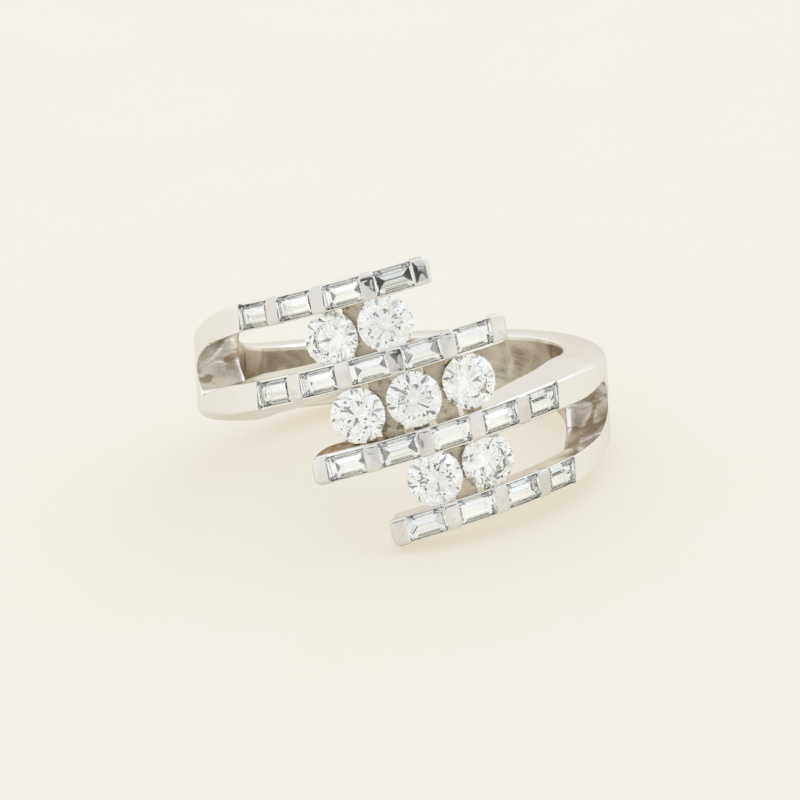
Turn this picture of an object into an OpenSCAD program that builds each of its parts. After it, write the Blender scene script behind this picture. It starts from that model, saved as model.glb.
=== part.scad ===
// Crossover ring, lying on its side. Two forked shoulders send four stone-set bars
// across the front of the finger, two from each side, with round stones between the bars.
// Millimetres, +Z up. The origin is the centre of the finger hole.

/* [Band] */
// Inside diameter of the band
finger_d = 17; // [16.5:0.1:17.5]
// Radial thickness of the metal
wall_t = 2.32; // [2.24:0.02:2.4]
// Width of the band at the back
back_w = 3.5; // [3.3:0.1:3.6]

/* [Bars] */
// Width of each bar
bar_w = 1.46; // [1.44:0.01:1.5]
// Rise of the bars for each millimetre across the front
bar_rise = 0.24; // [0.22:0.01:0.26]
// Height of an outer bar's middle above the ring's own middle plane
outer_bar_z = 6.47; // [6.43:0.01:6.5]
// Height of an inner bar's middle above the ring's own middle plane
inner_bar_z = 2.3; // [2.28:0.01:2.34]
// Distance along an outer bar from one cross-bar to the next
outer_pitch = 2.82; // [2.8:0.01:2.84]
// Distance along an inner bar from one cross-bar to the next
inner_pitch = 2.87; // [2.84:0.01:2.9]
// Thickness of a cross-bar along its bar
cross_t = 0.72; // [0.66:0.02:0.76]
// Length of the cap that closes a bar's free end
cap_len = 1.04; // [0.96:0.02:1.1]
// Height that the cross-bars stand above the bar's rims
cross_h = 0.15; // [0.1:0.01:0.17]

/* [Stones] */
// Length of a baguette
baguette_l = 2.32; // [2.28:0.01:2.36]
// Width of a baguette
baguette_w = 1.24; // [1.2:0.01:1.26]
// Diameter of a round stone at its girdle
round_d = 2.92; // [2.88:0.01:2.94]
// Distance between neighbouring round stones
round_pitch = 3.02; // [3:0.01:3.1]
// Gap between a stone and its setting
stone_gap = 0.02; // [0.02:0.005:0.03]

/* [Resting pose] */
// Angle by which the finger axis leans back when the ring rests on a table
lean = 16.2; // [12:0.1:20]
// Angle by which the ring rolls to its right at rest
roll = 1.6; // [0:0.1:3]

/* [Hidden] */
inner_r = finger_d / 2;
outer_r = inner_r + wall_t;
rim_r = outer_r - cross_h;

// Half the height of a bar, measured straight up across its slope
bar_slope = atan(bar_rise);
bar_half = bar_w / 2 / cos(bar_slope);

// Angles count round the finger axis from the middle of the head, positive to the left
deg_per_mm = 180 / (PI * outer_r);
outer_step = outer_pitch * cos(bar_slope) * deg_per_mm;
inner_step = inner_pitch * cos(bar_slope) * deg_per_mm;
outer_root = 10.13 * deg_per_mm;
inner_root = 9.035 * deg_per_mm;
outer_crosses = 5;
inner_crosses = 6;
outer_end = outer_root - (outer_crosses - 1) * outer_step - cap_len / 2 * deg_per_mm;
inner_end = inner_root - (inner_crosses - 1) * inner_step - cap_len / 2 * deg_per_mm;

// Edges of the left arm, from where the bars begin to bend to the middle of the back
bend_angle = 50;
slot_end = 79;
slot_corner_r = 1;
lower_edge = 1;
slot_lower = 2;
slot_upper = 3;
upper_edge = 4;
// Columns: angle, lower edge, lower edge of the slot, upper edge of the slot, upper edge
arm_rows = [
    [60, -0.82, 0.8, 3.3, 4.8],
    [70, -1.1, 0.4, 2.86, 4.32],
    [slot_end, -1.3, 0.04, 2.42, 3.8],
    [90, -1.45, 0, 2, 3.18],
    [105, -1.61, 0, 2, 2.5],
    [120, -1.72, 0, 2, 2.06],
    [135, -back_w / 2, 0, 2, 1.85],
    [150, -back_w / 2, 0, 2, back_w / 2],
    [165, -back_w / 2, 0, 2, back_w / 2],
    [186, -back_w / 2, 0, 2, back_w / 2]
];

function bar_z(mid, a) = mid - bar_rise * outer_r * sin(a);

// A row of edge heights at an angle where the bars are still straight
function bar_row(a) = [
    a,
    bar_z(inner_bar_z, a) - bar_half,
    bar_z(inner_bar_z, a) + bar_half,
    bar_z(outer_bar_z, a) - bar_half,
    bar_z(outer_bar_z, a) + bar_half
];

edge_rows = concat([bar_row(bend_angle - 10), bar_row(bend_angle)], arm_rows);

// Smooth curve through the rows: a cubic between neighbours, with the slope of the chord at each row
function row_slope(i, col) =
    let (lo = max(i - 1, 0), hi = min(i + 1, len(edge_rows) - 1))
    (edge_rows[hi][col] - edge_rows[lo][col]) / (edge_rows[hi][0] - edge_rows[lo][0]);

function row_before(a, i = 0) = (i + 2 >= len(edge_rows) || edge_rows[i + 1][0] > a) ? i : row_before(a, i + 1);

function curve_at(a, col) =
    let (
        i = row_before(a),
        run = edge_rows[i + 1][0] - edge_rows[i][0],
        t = (a - edge_rows[i][0]) / run
    )
    edge_rows[i][col] * (1 - 3 * t * t + 2 * t * t * t)
    + edge_rows[i + 1][col] * (3 * t * t - 2 * t * t * t)
    + row_slope(i, col) * run * (t - 2 * t * t + t * t * t)
    + row_slope(i + 1, col) * run * (t * t * t - t * t);

function edge_z(a, col) = a <= bend_angle ? bar_row(a)[col] : curve_at(a, col);

// How far a corner of radius r cuts in, at a distance d from the end
function corner_cut(d, r) = d >= r ? 0 : r - sqrt(r * r - (r - d) * (r - d));

// A wall bent round the finger axis. Each row is an angle and the corners of its section there, as
// [radius, height] from the inside bottom corner by way of the outside
module bent_strip(rows) {
    n = len(rows);
    m = len(rows[0][1]);
    points = [
        for (row = rows)
            for (corner = row[1])
                [-corner[0] * sin(row[0]), -corner[0] * cos(row[0]), corner[1]]
    ];
    start = [for (k = [0:m - 1]) k];
    finish = [for (k = [m - 1:-1:0]) m * (n - 1) + k];
    sides = [
        for (i = [0:n - 2])
            for (k = [0:m - 1])
                for (half = [0, 1])
                    half == 0
                        ? [m * i + k, m * (i + 1) + k, m * i + (k + 1) % m]
                        : [m * i + (k + 1) % m, m * (i + 1) + k, m * (i + 1) + (k + 1) % m]
    ];
    polyhedron(points, concat([start], sides, [finish]));
}

// The strips run past both faces of the band, which two cylinders then cut true
spare = 1.2;
strip_in = inner_r - spare;
strip_out = outer_r + spare;

function section(low, high) = [[strip_in, low], [strip_out, low], [strip_out, high], [strip_in, high]];

// The slot is cut straight back from the front, so each of its edges climbs towards the finger hole
function slot_at(r, mid, side, a, outside) =
    let (inside = mid + side * bar_half - bar_rise * inner_r * sin(a))
    inside + (outside - inside) * (r - inner_r) / wall_t;

function under_slot(a) =
    let (top = edge_z(a, slot_lower), low = edge_z(a, lower_edge))
    [
        [strip_in, low],
        [strip_out, low],
        [strip_out, slot_at(strip_out, inner_bar_z, 1, a, top)],
        [strip_in, slot_at(strip_in, inner_bar_z, 1, a, top)]
    ];

function over_slot(a, cut) =
    let (low = edge_z(a, slot_upper), top = edge_z(a, upper_edge))
    [
        [strip_in, slot_at(strip_in, outer_bar_z, -1, a, low) - cut],
        [strip_out, slot_at(strip_out, outer_bar_z, -1, a, low) - cut],
        [strip_out, top],
        [strip_in, top]
    ];

// The left half of the metal before any stone is let in
back_angle = 180;
arm_step = 5;
fork_step = 5;
corner_steps = [0.24, 0.44, 0.64, 0.82, 0.93, 1];

module half_blank() {
    slot_corner = slot_corner_r * deg_per_mm;
    arm_angles = concat([for (a = [slot_end:arm_step:back_angle - 2 * arm_step]) a], [back_angle + arm_step]);
    fork_angles = concat(
        [for (a = [bend_angle:fork_step:slot_end - slot_corner - 1]) a],
        [slot_end - slot_corner],
        [for (s = corner_steps) slot_end + (s - 1) * slot_corner]
    );
    bent_strip([for (a = arm_angles) [a, section(edge_z(a, lower_edge), edge_z(a, upper_edge))]]);
    bent_strip([for (a = fork_angles) [a, under_slot(a)]]);
    bent_strip([for (a = fork_angles) [a, over_slot(a, corner_cut((slot_end - a) / deg_per_mm, slot_corner_r))]]);
    bar_blank(outer_bar_z, outer_end, outer_end_round);
    bar_blank(inner_bar_z, inner_end, inner_end_round);
}

// Corner radii of the bars' free ends: the upper corner of every bar, and the lower one of each kind
end_round = 0.45;
outer_end_round = 0.15;
inner_end_round = 0.3;
end_steps = [0, 0.05, 0.13, 0.27, 0.5, 0.75, 1];
bar_step = 4;

// One straight bar from where it leaves the fork to its rounded free end. On the left half the slot
// lies below the outer bar and above the inner one
module bar_blank(mid, end, low_round) {
    reach = end_round * deg_per_mm;
    run = bend_angle - end - reach;
    steps = ceil(run / bar_step);
    side = mid > inner_bar_z ? -1 : 1;
    angles = concat(
        [for (s = end_steps) end + s * reach],
        [for (i = [1:steps]) end + reach + run * i / steps]
    );
    bent_strip([for (a = angles)
        let (
            d = (a - end) / deg_per_mm,
            low = bar_z(mid, a) - bar_half + corner_cut(d, low_round),
            high = bar_z(mid, a) + bar_half - corner_cut(d, end_round),
            lift = bar_rise * max(0, sin(a)),
            low_lift = side < 0 ? lift : 0,
            high_lift = side > 0 ? lift : 0
        )
        [a, [
            [strip_in, low + low_lift * (outer_r - strip_in)],
            [strip_out, low + low_lift * (outer_r - strip_out)],
            [strip_out, high + high_lift * (outer_r - strip_out)],
            [strip_in, high + high_lift * (outer_r - strip_in)]
        ]]]);
}

// Where the stones stand: each is measured from the upper edge of its girdle
baguette_r = rim_r - 0.08;
baguette_crown = 0.16;
baguette_table_in = 0.19;
baguette_girdle = 0.05;
// Steps below the girdle. Columns: depth, how far the outline is drawn in there
step_rows = [
    [0.2, 0.15],
    [0.42, 0.34]
];
baguette_depth = 0.74;
baguette_keel_w = 0.06;
round_r = outer_r - 0.44;
round_crown = 0.43;
round_girdle = 0.06;
round_depth = 1.24;
// One of the 16 parts of a round stone's girdle
facet_turn = 360 / 16;
// Corners of a round stone's table and stars, and of its lower halves, as shares of its radius
table_share = 0.606;
star_share = 0.78;
lower_share = 0.24;
// Places of the two round stones on the left of the head, along the band from its middle, and how far
// they stand from their row's middle
round_places = [4.12, 1.115];
round_angles = [for (place = round_places) place * deg_per_mm];
round_drop = 0.08;
// Smoothness of the rooms, of the seats and of the band's two faces
room_sides = 48;
seat_sides = 40;
band_sides = 180;
// The middle row has slipped a little to the right along its bars
middle_slip = 0.2;
middle_lift = 0.04;

// Takes a piece drawn flat, with X along the bar and Z outwards, to an angle round the finger
module on_band(a, z, r) {
    translate([-r * sin(a), -r * cos(a), z])
        rotate([0, 0, -a])
            rotate([90, 0, 0])
                rotate([0, 0, atan(bar_rise * cos(a))])
                    children();
}

module both_halves() {
    children();
    turned() children();
}

// Step-cut stone. Each level is a height and how far it is drawn in from the girdle
module baguette_cut(grow) {
    levels = concat(
        [[baguette_crown + grow, baguette_table_in], [grow / 2, 0], [-baguette_girdle - grow / 2, 0]],
        [for (row = step_rows) [-baguette_girdle - row[0], row[1]]],
        [[-baguette_depth - grow, (baguette_w - baguette_keel_w) / 2]]
    );
    points = [
        for (level = levels)
            let (x = baguette_l / 2 + grow - level[1], y = baguette_w / 2 + grow - level[1])
            for (corner = [[-x, -y], [x, -y], [x, y], [-x, y]])
                [corner[0], corner[1], level[0]]
    ];
    sides = [
        for (i = [0:len(levels) - 2])
            for (k = [0:3])
                [4 * i + k, 4 * i + (k + 1) % 4, 4 * i + 4 + (k + 1) % 4, 4 * i + 4 + k]
    ];
    last = 4 * len(levels) - 4;
    polyhedron(points, concat([[3, 2, 1, 0]], sides, [[last, last + 1, last + 2, last + 3]]));
}

// Room for a baguette: its own shape and the open stretch above it between two cross-bars, which lean
// a little towards the finger axis
cross_skew = 0.08;

module baguette_room(pitch) {
    baguette_cut(stone_gap);
    stretch(pitch, baguette_w / 2 + stone_gap, 0);
    stretch(pitch, bar_w, rim_r - baguette_r);
}

module stretch(pitch, half_w, from) {
    half_l = (pitch - cross_t) / 2;
    lean_x = cross_skew * half_w;
    translate([0, 0, from])
        linear_extrude(spare)
            polygon([
                [-half_l - lean_x, -half_w],
                [half_l - lean_x, -half_w],
                [half_l + lean_x, half_w],
                [-half_l + lean_x, half_w]
            ]);
}

// Height of the stars' corners, which puts each kite in one plane
star_z = round_crown * (1 - star_share * cos(facet_turn)) / (1 - table_share);

// Round brilliant with table, stars, kites, upper halves, girdle, lower halves and mains
module round_cut() {
    r = round_d / 2;
    table_r = r * table_share;
    star_r = r * star_share;
    lower_r = r * lower_share;
    function corners(radius, first, step, z) =
        [for (a = [first:step:359]) [radius * cos(a), radius * sin(a), z]];
    lower_z = -round_girdle - round_depth * (1 - lower_r * cos(facet_turn) / r);
    points = concat(
        corners(table_r, 0, 2 * facet_turn, round_crown),
        corners(star_r, facet_turn, 2 * facet_turn, star_z),
        corners(r, 0, facet_turn, 0),
        corners(r, 0, facet_turn, -round_girdle),
        corners(lower_r, facet_turn, 2 * facet_turn, lower_z),
        [[0, 0, -round_girdle - round_depth]]
    );
    table = [[for (k = [7:-1:0]) k]];
    stars = [for (k = [0:7]) [k, (k + 1) % 8, 8 + k]];
    kites = [for (k = [0:7]) [k, 8 + k, 16 + 2 * k, 8 + (k + 7) % 8]];
    upper = [for (k = [0:7]) for (side = [0, 1])
        [8 + k, 16 + (2 * k + 1 + side) % 16, 16 + (2 * k + side) % 16]];
    girdle = [for (k = [0:15]) [16 + k, 16 + (k + 1) % 16, 32 + (k + 1) % 16, 32 + k]];
    lower = [for (k = [0:7]) for (side = [0, 1])
        [48 + k, 32 + (2 * k + side) % 16, 32 + (2 * k + 1 + side) % 16]];
    mains = [for (k = [0:7]) [56, 48 + (k + 7) % 8, 32 + 2 * k, 48 + k]];
    polyhedron(points, concat(table, stars, kites, upper, girdle, lower, mains));
}

// Room for a round stone: the solid that it would sweep if turned about its own axis
module round_room() {
    r = round_d / 2 + stone_gap;
    rotate_extrude($fn = room_sides)
        polygon([
            [0, -round_girdle - round_depth - 2 * stone_gap],
            [r, -round_girdle - stone_gap / 2],
            [r, stone_gap / 2],
            [round_d / 2 * star_share + stone_gap, star_z + stone_gap],
            [round_d / 2 * table_share + stone_gap, round_crown + stone_gap],
            [0, round_crown + stone_gap]
        ]);
}

row_step = round_pitch * cos(bar_slope) * 180 / (PI * round_r);
outer_row_z = (outer_bar_z + inner_bar_z) / 2;

// Places a child at a round stone of the left half, or at one of the middle row
module at_left_round(i) {
    a = round_angles[i];
    on_band(a, bar_z(outer_row_z, a) - round_drop, round_r) children();
}

module at_middle_round(i) {
    a = (1 - i) * row_step - middle_slip * deg_per_mm;
    on_band(a, bar_z(middle_lift, a), round_r) children();
}

// Free width between two neighbouring bars
outer_gap = (outer_bar_z - inner_bar_z) * cos(bar_slope) - bar_w;
middle_gap = 2 * inner_bar_z * cos(bar_slope) - bar_w;

seat_d = 2.6;
seat_top = outer_r - 0.76;
seat_bottom = inner_r + 0.95;
strut_w = 0.9;
strut_h = 0.6;
web_w = 1.2;
web_top = outer_r - 0.54;
// How deep a strut or web runs into the bars
root_in = 0.25;

// A round stone's seat: a collar with a strut to the bar on each side
module seat(gap) {
    reach = gap / 2 + root_in;
    translate([0, 0, seat_bottom - round_r])
        cylinder(d = seat_d, h = seat_top - seat_bottom, $fn = seat_sides);
    translate([-strut_w / 2, -reach, seat_bottom - round_r])
        cube([strut_w, 2 * reach, strut_h]);
}

// A web that fills the corners between two neighbouring round stones
module web(gap) {
    reach = gap / 2 + root_in;
    translate([-web_w / 2, -reach, seat_bottom - round_r])
        cube([web_w, 2 * reach, web_top - seat_bottom]);
}

module seats() {
    web_angle = (round_angles[0] + round_angles[1]) / 2;
    both_halves() {
        for (i = [0, 1]) at_left_round(i) seat(outer_gap);
        on_band(web_angle, bar_z(outer_row_z, web_angle), round_r) web(outer_gap);
    }
    for (i = [0:2]) at_middle_round(i) seat(middle_gap);
    for (i = [0.5, 1.5]) at_middle_round(i) web(middle_gap);
}

module at_outer_baguette(i) {
    a = outer_root - (i + 0.5) * outer_step;
    on_band(a, bar_z(outer_bar_z, a), baguette_r) children();
}

module at_inner_baguette(i) {
    a = inner_root - (i + 0.5) * inner_step;
    on_band(a, bar_z(inner_bar_z, a), baguette_r) children();
}

module baguette_rooms() {
    for (i = [0:outer_crosses - 2]) at_outer_baguette(i) baguette_room(outer_pitch);
    for (i = [0:inner_crosses - 2]) at_inner_baguette(i) baguette_room(inner_pitch);
}

module round_rooms() {
    both_halves() for (i = [0, 1]) at_left_round(i) round_room();
    for (i = [0:2]) at_middle_round(i) round_room();
}

module ring_metal_upright() {
    tall = 3 * outer_bar_z;
    difference() {
        union() {
            intersection() {
                both_halves() half_blank();
                cylinder(r = outer_r, h = tall, center = true, $fn = band_sides);
            }
            seats();
        }
        cylinder(r = inner_r, h = 2 * tall, center = true, $fn = band_sides);
        both_halves() baguette_rooms();
        round_rooms();
    }
}

// The ring lies on its side: the back of the band and the free end of the lowest bar touch the table
module lying() {
    rotate([0, roll, 0]) rotate([-lean, 0, 0]) children();
}

// The other half of the ring is the first one turned about the line of sight at the head
module turned() {
    rotate([0, 180, 0]) children();
}

module ring_metal() {
    color("gainsboro") lying() ring_metal_upright();
}

// Baguettes are numbered from the shoulder to the free end of their bar
module top_baguette(i) {
    color("azure") lying() at_outer_baguette(i - 1) baguette_cut(0);
}

module upper_baguette(i) {
    color("azure") lying() at_inner_baguette(i - 1) baguette_cut(0);
}

module lower_baguette(i) {
    color("azure") lying() turned() at_inner_baguette(i - 1) baguette_cut(0);
}

module bottom_baguette(i) {
    color("azure") lying() turned() at_outer_baguette(i - 1) baguette_cut(0);
}

// Round stones are numbered from left to right
module upper_round(i) {
    color("lightcyan") lying() at_left_round(i - 1) round_cut();
}

module middle_round(i) {
    color("lightcyan") lying() at_middle_round(i - 1) round_cut();
}

module lower_round(i) {
    color("lightcyan") lying() turned() at_left_round(2 - i) round_cut();
}

ring_metal();
for (i = [1:outer_crosses - 1]) {
    top_baguette(i);
    bottom_baguette(i);
}
for (i = [1:inner_crosses - 1]) {
    upper_baguette(i);
    lower_baguette(i);
}
for (i = [1:2]) {
    upper_round(i);
    lower_round(i);
}
for (i = [1:3]) {
    middle_round(i);
}
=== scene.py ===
import math
from functools import partial

import bmesh
import bpy
import numpy as np
from mathutils import Matrix, Vector


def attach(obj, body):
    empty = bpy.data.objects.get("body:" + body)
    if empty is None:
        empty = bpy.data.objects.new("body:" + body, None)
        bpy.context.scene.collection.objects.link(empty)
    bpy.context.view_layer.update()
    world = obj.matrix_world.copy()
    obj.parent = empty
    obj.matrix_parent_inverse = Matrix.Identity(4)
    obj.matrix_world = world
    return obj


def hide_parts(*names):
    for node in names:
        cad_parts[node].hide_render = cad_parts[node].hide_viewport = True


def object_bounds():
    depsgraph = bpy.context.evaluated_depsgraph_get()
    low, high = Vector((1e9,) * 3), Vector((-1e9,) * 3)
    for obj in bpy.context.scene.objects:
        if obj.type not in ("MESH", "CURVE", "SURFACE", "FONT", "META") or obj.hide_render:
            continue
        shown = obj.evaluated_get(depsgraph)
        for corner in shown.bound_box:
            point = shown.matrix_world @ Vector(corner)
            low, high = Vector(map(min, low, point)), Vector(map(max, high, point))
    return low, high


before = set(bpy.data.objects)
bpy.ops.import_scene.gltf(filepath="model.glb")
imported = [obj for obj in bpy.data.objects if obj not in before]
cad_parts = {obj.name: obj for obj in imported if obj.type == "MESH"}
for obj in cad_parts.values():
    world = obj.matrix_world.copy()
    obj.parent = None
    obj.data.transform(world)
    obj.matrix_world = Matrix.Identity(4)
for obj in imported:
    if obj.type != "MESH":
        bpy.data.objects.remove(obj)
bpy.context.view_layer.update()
print("frame loaded:", len(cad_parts), "nodes")

millimetre = 0.001
fullTurn = 2 * math.pi
quarterTurn = math.pi / 2

# the ring as it is measured: upright, in millimetres, head towards -Y
# angles go round the finger from the middle of the head, positive to the left
ring = {
    "innerRadius": 8.5,
    "outerRadius": 10.82,
    "backWidth": 3.5,
    "bendAngle": 50.0,  # where the bars run into the forks
    "slotEnd": 79.0,
    "barWidth": 1.46,
    "barRise": 0.24,  # per mm across the head
    "outerBarHeight": 6.47,  # along the finger, at the middle of the head
    "innerBarHeight": 2.3,
    "outerRoot": 10.13,  # round the outside, from the middle to the first cross-bar
    "innerRoot": 9.035,
    "outerCrosses": 5,
    "innerCrosses": 6,
    "outerPitch": 2.82,
    "innerPitch": 2.87,
    "crossThickness": 0.72,
    "capLength": 1.04,
    "crossHeight": 0.15,
    "crossSkew": 0.08,
    "lean": 16.2,
    "roll": 1.6,
}

innerRadius = ring["innerRadius"]
outerRadius = ring["outerRadius"]
rimRadius = outerRadius - ring["crossHeight"]
degPerMm = 180 / (math.pi * outerRadius)
barSlope = math.atan(ring["barRise"])
barHalf = ring["barWidth"] / 2 / math.cos(barSlope)
outerStep = ring["outerPitch"] * math.cos(barSlope) * degPerMm
innerStep = ring["innerPitch"] * math.cos(barSlope) * degPerMm
outerRoot = ring["outerRoot"] * degPerMm
innerRoot = ring["innerRoot"] * degPerMm
capReach = ring["capLength"] / 2 * degPerMm
outerEnd = outerRoot - (ring["outerCrosses"] - 1) * outerStep - capReach
innerEnd = innerRoot - (ring["innerCrosses"] - 1) * innerStep - capReach
# height, root angle, step, number of cross-bars and pitch of each kind of bar
barKinds = (
    (ring["outerBarHeight"], outerRoot, outerStep, ring["outerCrosses"], ring["outerPitch"]),
    (ring["innerBarHeight"], innerRoot, innerStep, ring["innerCrosses"], ring["innerPitch"]),
)

# from the upright ring to the way it lies on the table
lie = (
    Matrix.Rotation(math.radians(ring["roll"]), 4, "Y")
    @ Matrix.Rotation(math.radians(-ring["lean"]), 4, "X")
)
turned = Matrix.Rotation(math.pi, 4, "Y")
fingerAxis = lie.to_3x3() @ Vector((0, 0, 1))


def sinDeg(a):
    return math.sin(math.radians(a))


def cosDeg(a):
    return math.cos(math.radians(a))


def onBand(a, z, r):
    # a flat drawing, X along the bar and Z outwards, laid on the band
    return (
        Matrix.Translation((-r * sinDeg(a), -r * cosDeg(a), z))
        @ Matrix.Rotation(math.radians(-a), 4, "Z")
        @ Matrix.Rotation(math.radians(90), 4, "X")
        @ Matrix.Rotation(math.atan(ring["barRise"] * cosDeg(a)), 4, "Z")
    )


# edges of the arms


def barMiddle(mid, a):
    return mid - ring["barRise"] * outerRadius * sinDeg(a)


def barRow(a):
    inner = barMiddle(ring["innerBarHeight"], a)
    outer = barMiddle(ring["outerBarHeight"], a)
    return [a, inner - barHalf, inner + barHalf, outer - barHalf, outer + barHalf]


lowerEdge, slotLower, slotUpper, upperEdge = 1, 2, 3, 4
halfBack = ring["backWidth"] / 2
straightRun = 10  # degrees of straight bar before the bend, for the slope to run on
# angle, lower edge, lower edge of the slot, upper edge of the slot, upper edge
armRows = [barRow(ring["bendAngle"] - straightRun), barRow(ring["bendAngle"])] + [
    [60, -0.82, 0.8, 3.3, 4.8],
    [70, -1.1, 0.4, 2.86, 4.32],
    [79, -1.3, 0.04, 2.42, 3.8],
    [90, -1.45, 0, 2, 3.18],
    [105, -1.61, 0, 2, 2.5],
    [120, -1.72, 0, 2, 2.06],
    [135, -halfBack, 0, 2, 1.85],
    [150, -halfBack, 0, 2, halfBack],
    [165, -halfBack, 0, 2, halfBack],
    [186, -halfBack, 0, 2, halfBack],
]


def rowSlope(i, col):
    before, after = armRows[max(i - 1, 0)], armRows[min(i + 1, len(armRows) - 1)]
    return (after[col] - before[col]) / (after[0] - before[0])


def edgeHeight(a, col):
    if a <= ring["bendAngle"]:
        return barRow(a)[col]
    i = max(k for k in range(len(armRows) - 1) if armRows[k][0] <= a)
    run = armRows[i + 1][0] - armRows[i][0]
    t = (a - armRows[i][0]) / run
    return (
        armRows[i][col] * (1 - 3 * t**2 + 2 * t**3)
        + armRows[i + 1][col] * (3 * t**2 - 2 * t**3)
        + rowSlope(i, col) * run * (t - 2 * t**2 + t**3)
        + rowSlope(i + 1, col) * run * (t**3 - t**2)
    )


def slotClimb(a, mid, side, col):
    # height gained per mm towards the finger hole, because the slots are cut straight back
    inside = mid + side * barHalf - ring["barRise"] * innerRadius * sinDeg(a)
    share = table(band["slotFloor"], a) if col == slotLower else 1.0
    return share * (inside - edgeHeight(a, col)) / (outerRadius - innerRadius)


def mix(a, b, t):
    return a + (b - a) * t


def soft(t):
    t = min(1.0, max(0.0, t))
    return t * t * (3 - 2 * t)


def table(rows, a):
    # steps softly between rows of angle and value
    for (a0, v0), (a1, v1) in zip(rows, rows[1:]):
        if a <= a1:
            return mix(v0, v1, soft((a - a0) / (a1 - a0)))
    return rows[-1][1]


# bent walls

band = {
    "start": 70.0,  # where the forks run into the arm
    "end": 183.0,  # a little past the back, so that the halves join
    "roundSteps": 6,
    "roundReach": 1.5,
    "angleStep": 1.5,
    "angleDigits": 6,
    "overrun": 1.0,
    "sharpAngle": 34.0,
    "layers": 4,
    "barEdgeRound": 0.07,
    "upperCorner": 0.45,
    "outerLowCorner": 0.15,
    "innerLowCorner": 0.3,
    "lowRounding": ((47, 0.08), (78, 0.8), (105, 0.75), (150, 0.3)),
    "highRounding": ((50, 0.1), (80, 0.3), (150, 0.3)),
    "boreRounding": ((47, 0.07), (80, 0.3), (120, 0.42)),
    "innerBulge": ((-20, 0.44), (-7, 0.0), (15, 0.0), (44, 0.26), (60, 0.26), (80, 0.0)),
    "slotFloor": ((57, 1.0), (75, 0.12)),
    "topLean": ((-5, -0.14), (25, 0.0)),
}


def blockSkin(bm, counts, place):
    # closed skin of a bent block, in steps along, across and out
    verts = {}
    for axis in range(3):
        b, c = (axis + 1) % 3, (axis + 2) % 3
        for level in (0, counts[axis]):
            for p in range(counts[b]):
                for q in range(counts[c]):
                    corners = []
                    for dp, dq in ((0, 0), (1, 0), (1, 1), (0, 1)):
                        at = [0, 0, 0]
                        at[axis], at[b], at[c] = level, p + dp, q + dq
                        at = tuple(at)
                        if at not in verts:
                            verts[at] = bm.verts.new(place(*at))
                        corners.append(verts[at])
                    bm.faces.new(corners if level else corners[::-1])


def profile(inner, outer, innerRound, outerRound, sign, bulge=0.0):
    # radii with how far the wall stands out there: -1 rounds a solid's edges, +1 flares a cutter
    turns = [quarterTurn * k / band["roundSteps"] for k in range(band["roundSteps"] + 1)]
    reach = band["roundReach"] if sign < 0 else 1.0  # a solid's rounding is deeper than wide
    low = [
        (inner + innerRound * (1 - math.sin(t)), sign * innerRound * (1 - math.cos(t)))
        for t in reversed(turns)
    ]
    high = [
        (outer - reach * outerRound * (1 - math.sin(t)), sign * outerRound * (1 - math.cos(t)))
        for t in turns
    ]
    if sign > 0:
        low = [(inner - band["overrun"], innerRound)] + low
        high = high + [(outer + band["overrun"], outerRound)]
    count = slot["layers"] if sign > 0 else band["layers"]
    middle = [(mix(low[-1][0], high[0][0], k / count), 0.0) for k in range(1, count)]
    depth = outerRadius - innerRadius
    return [(r, out + bulge * (1 - ((r - inner) / depth) ** 2)) for r, out in low + middle + high]


def onRing(turn, r, z):
    return (-r * sinDeg(turn), -r * cosDeg(turn), z)


def bentWall(rows, name):
    # each row is an angle and its two sides: height, climb towards the bore, ways out and profile
    bm = bmesh.new()
    outwards = len(rows[0][1][0][-1]) - 1

    def place(i, j, k):
        a, sides = rows[i]
        z, climb, along, up, outline = sides[j]
        r, out = outline[k]
        return onRing(a + along * out * degPerMm, r, z + climb * (outerRadius - r) + up * out)

    blockSkin(bm, (len(rows) - 1, 1, outwards), place)
    return closed(bm, name)


def closed(bm, name):
    bmesh.ops.recalc_face_normals(bm, faces=bm.faces)
    mesh = bpy.data.meshes.new(name)
    bm.to_mesh(mesh)
    bm.free()
    ob = bpy.data.objects.new(name, mesh)
    bpy.context.collection.objects.link(ob)
    return ob


def combine(base, other, operation):
    # the base takes the result, and the other one is used up
    mod = base.modifiers.new("combine", "BOOLEAN")
    mod.operation = operation
    mod.solver = "MANIFOLD"
    mod.object = other
    graph = bpy.context.evaluated_depsgraph_get()
    shape = bpy.data.meshes.new_from_object(base.evaluated_get(graph))
    base.modifiers.remove(mod)
    old = base.data
    base.data = shape
    bpy.data.meshes.remove(old)
    used = other.data
    bpy.data.objects.remove(other)
    bpy.data.meshes.remove(used)
    return base


def angles(start, end, step):
    count = max(1, math.ceil(abs(end - start) / step))
    return [mix(start, end, k / count) for k in range(count + 1)]


def cornerCut(d, r):
    return 0.0 if d >= r else r - math.sqrt(max(0.0, r * r - (r - d) ** 2))


def cornerWay(d, r):
    # which way the wall faces on a rounded corner: along the band and up
    lean = max(0.0, (r - d) / r) if r else 0.0
    return lean, math.sqrt(max(0.0, 1 - lean * lean))


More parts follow.
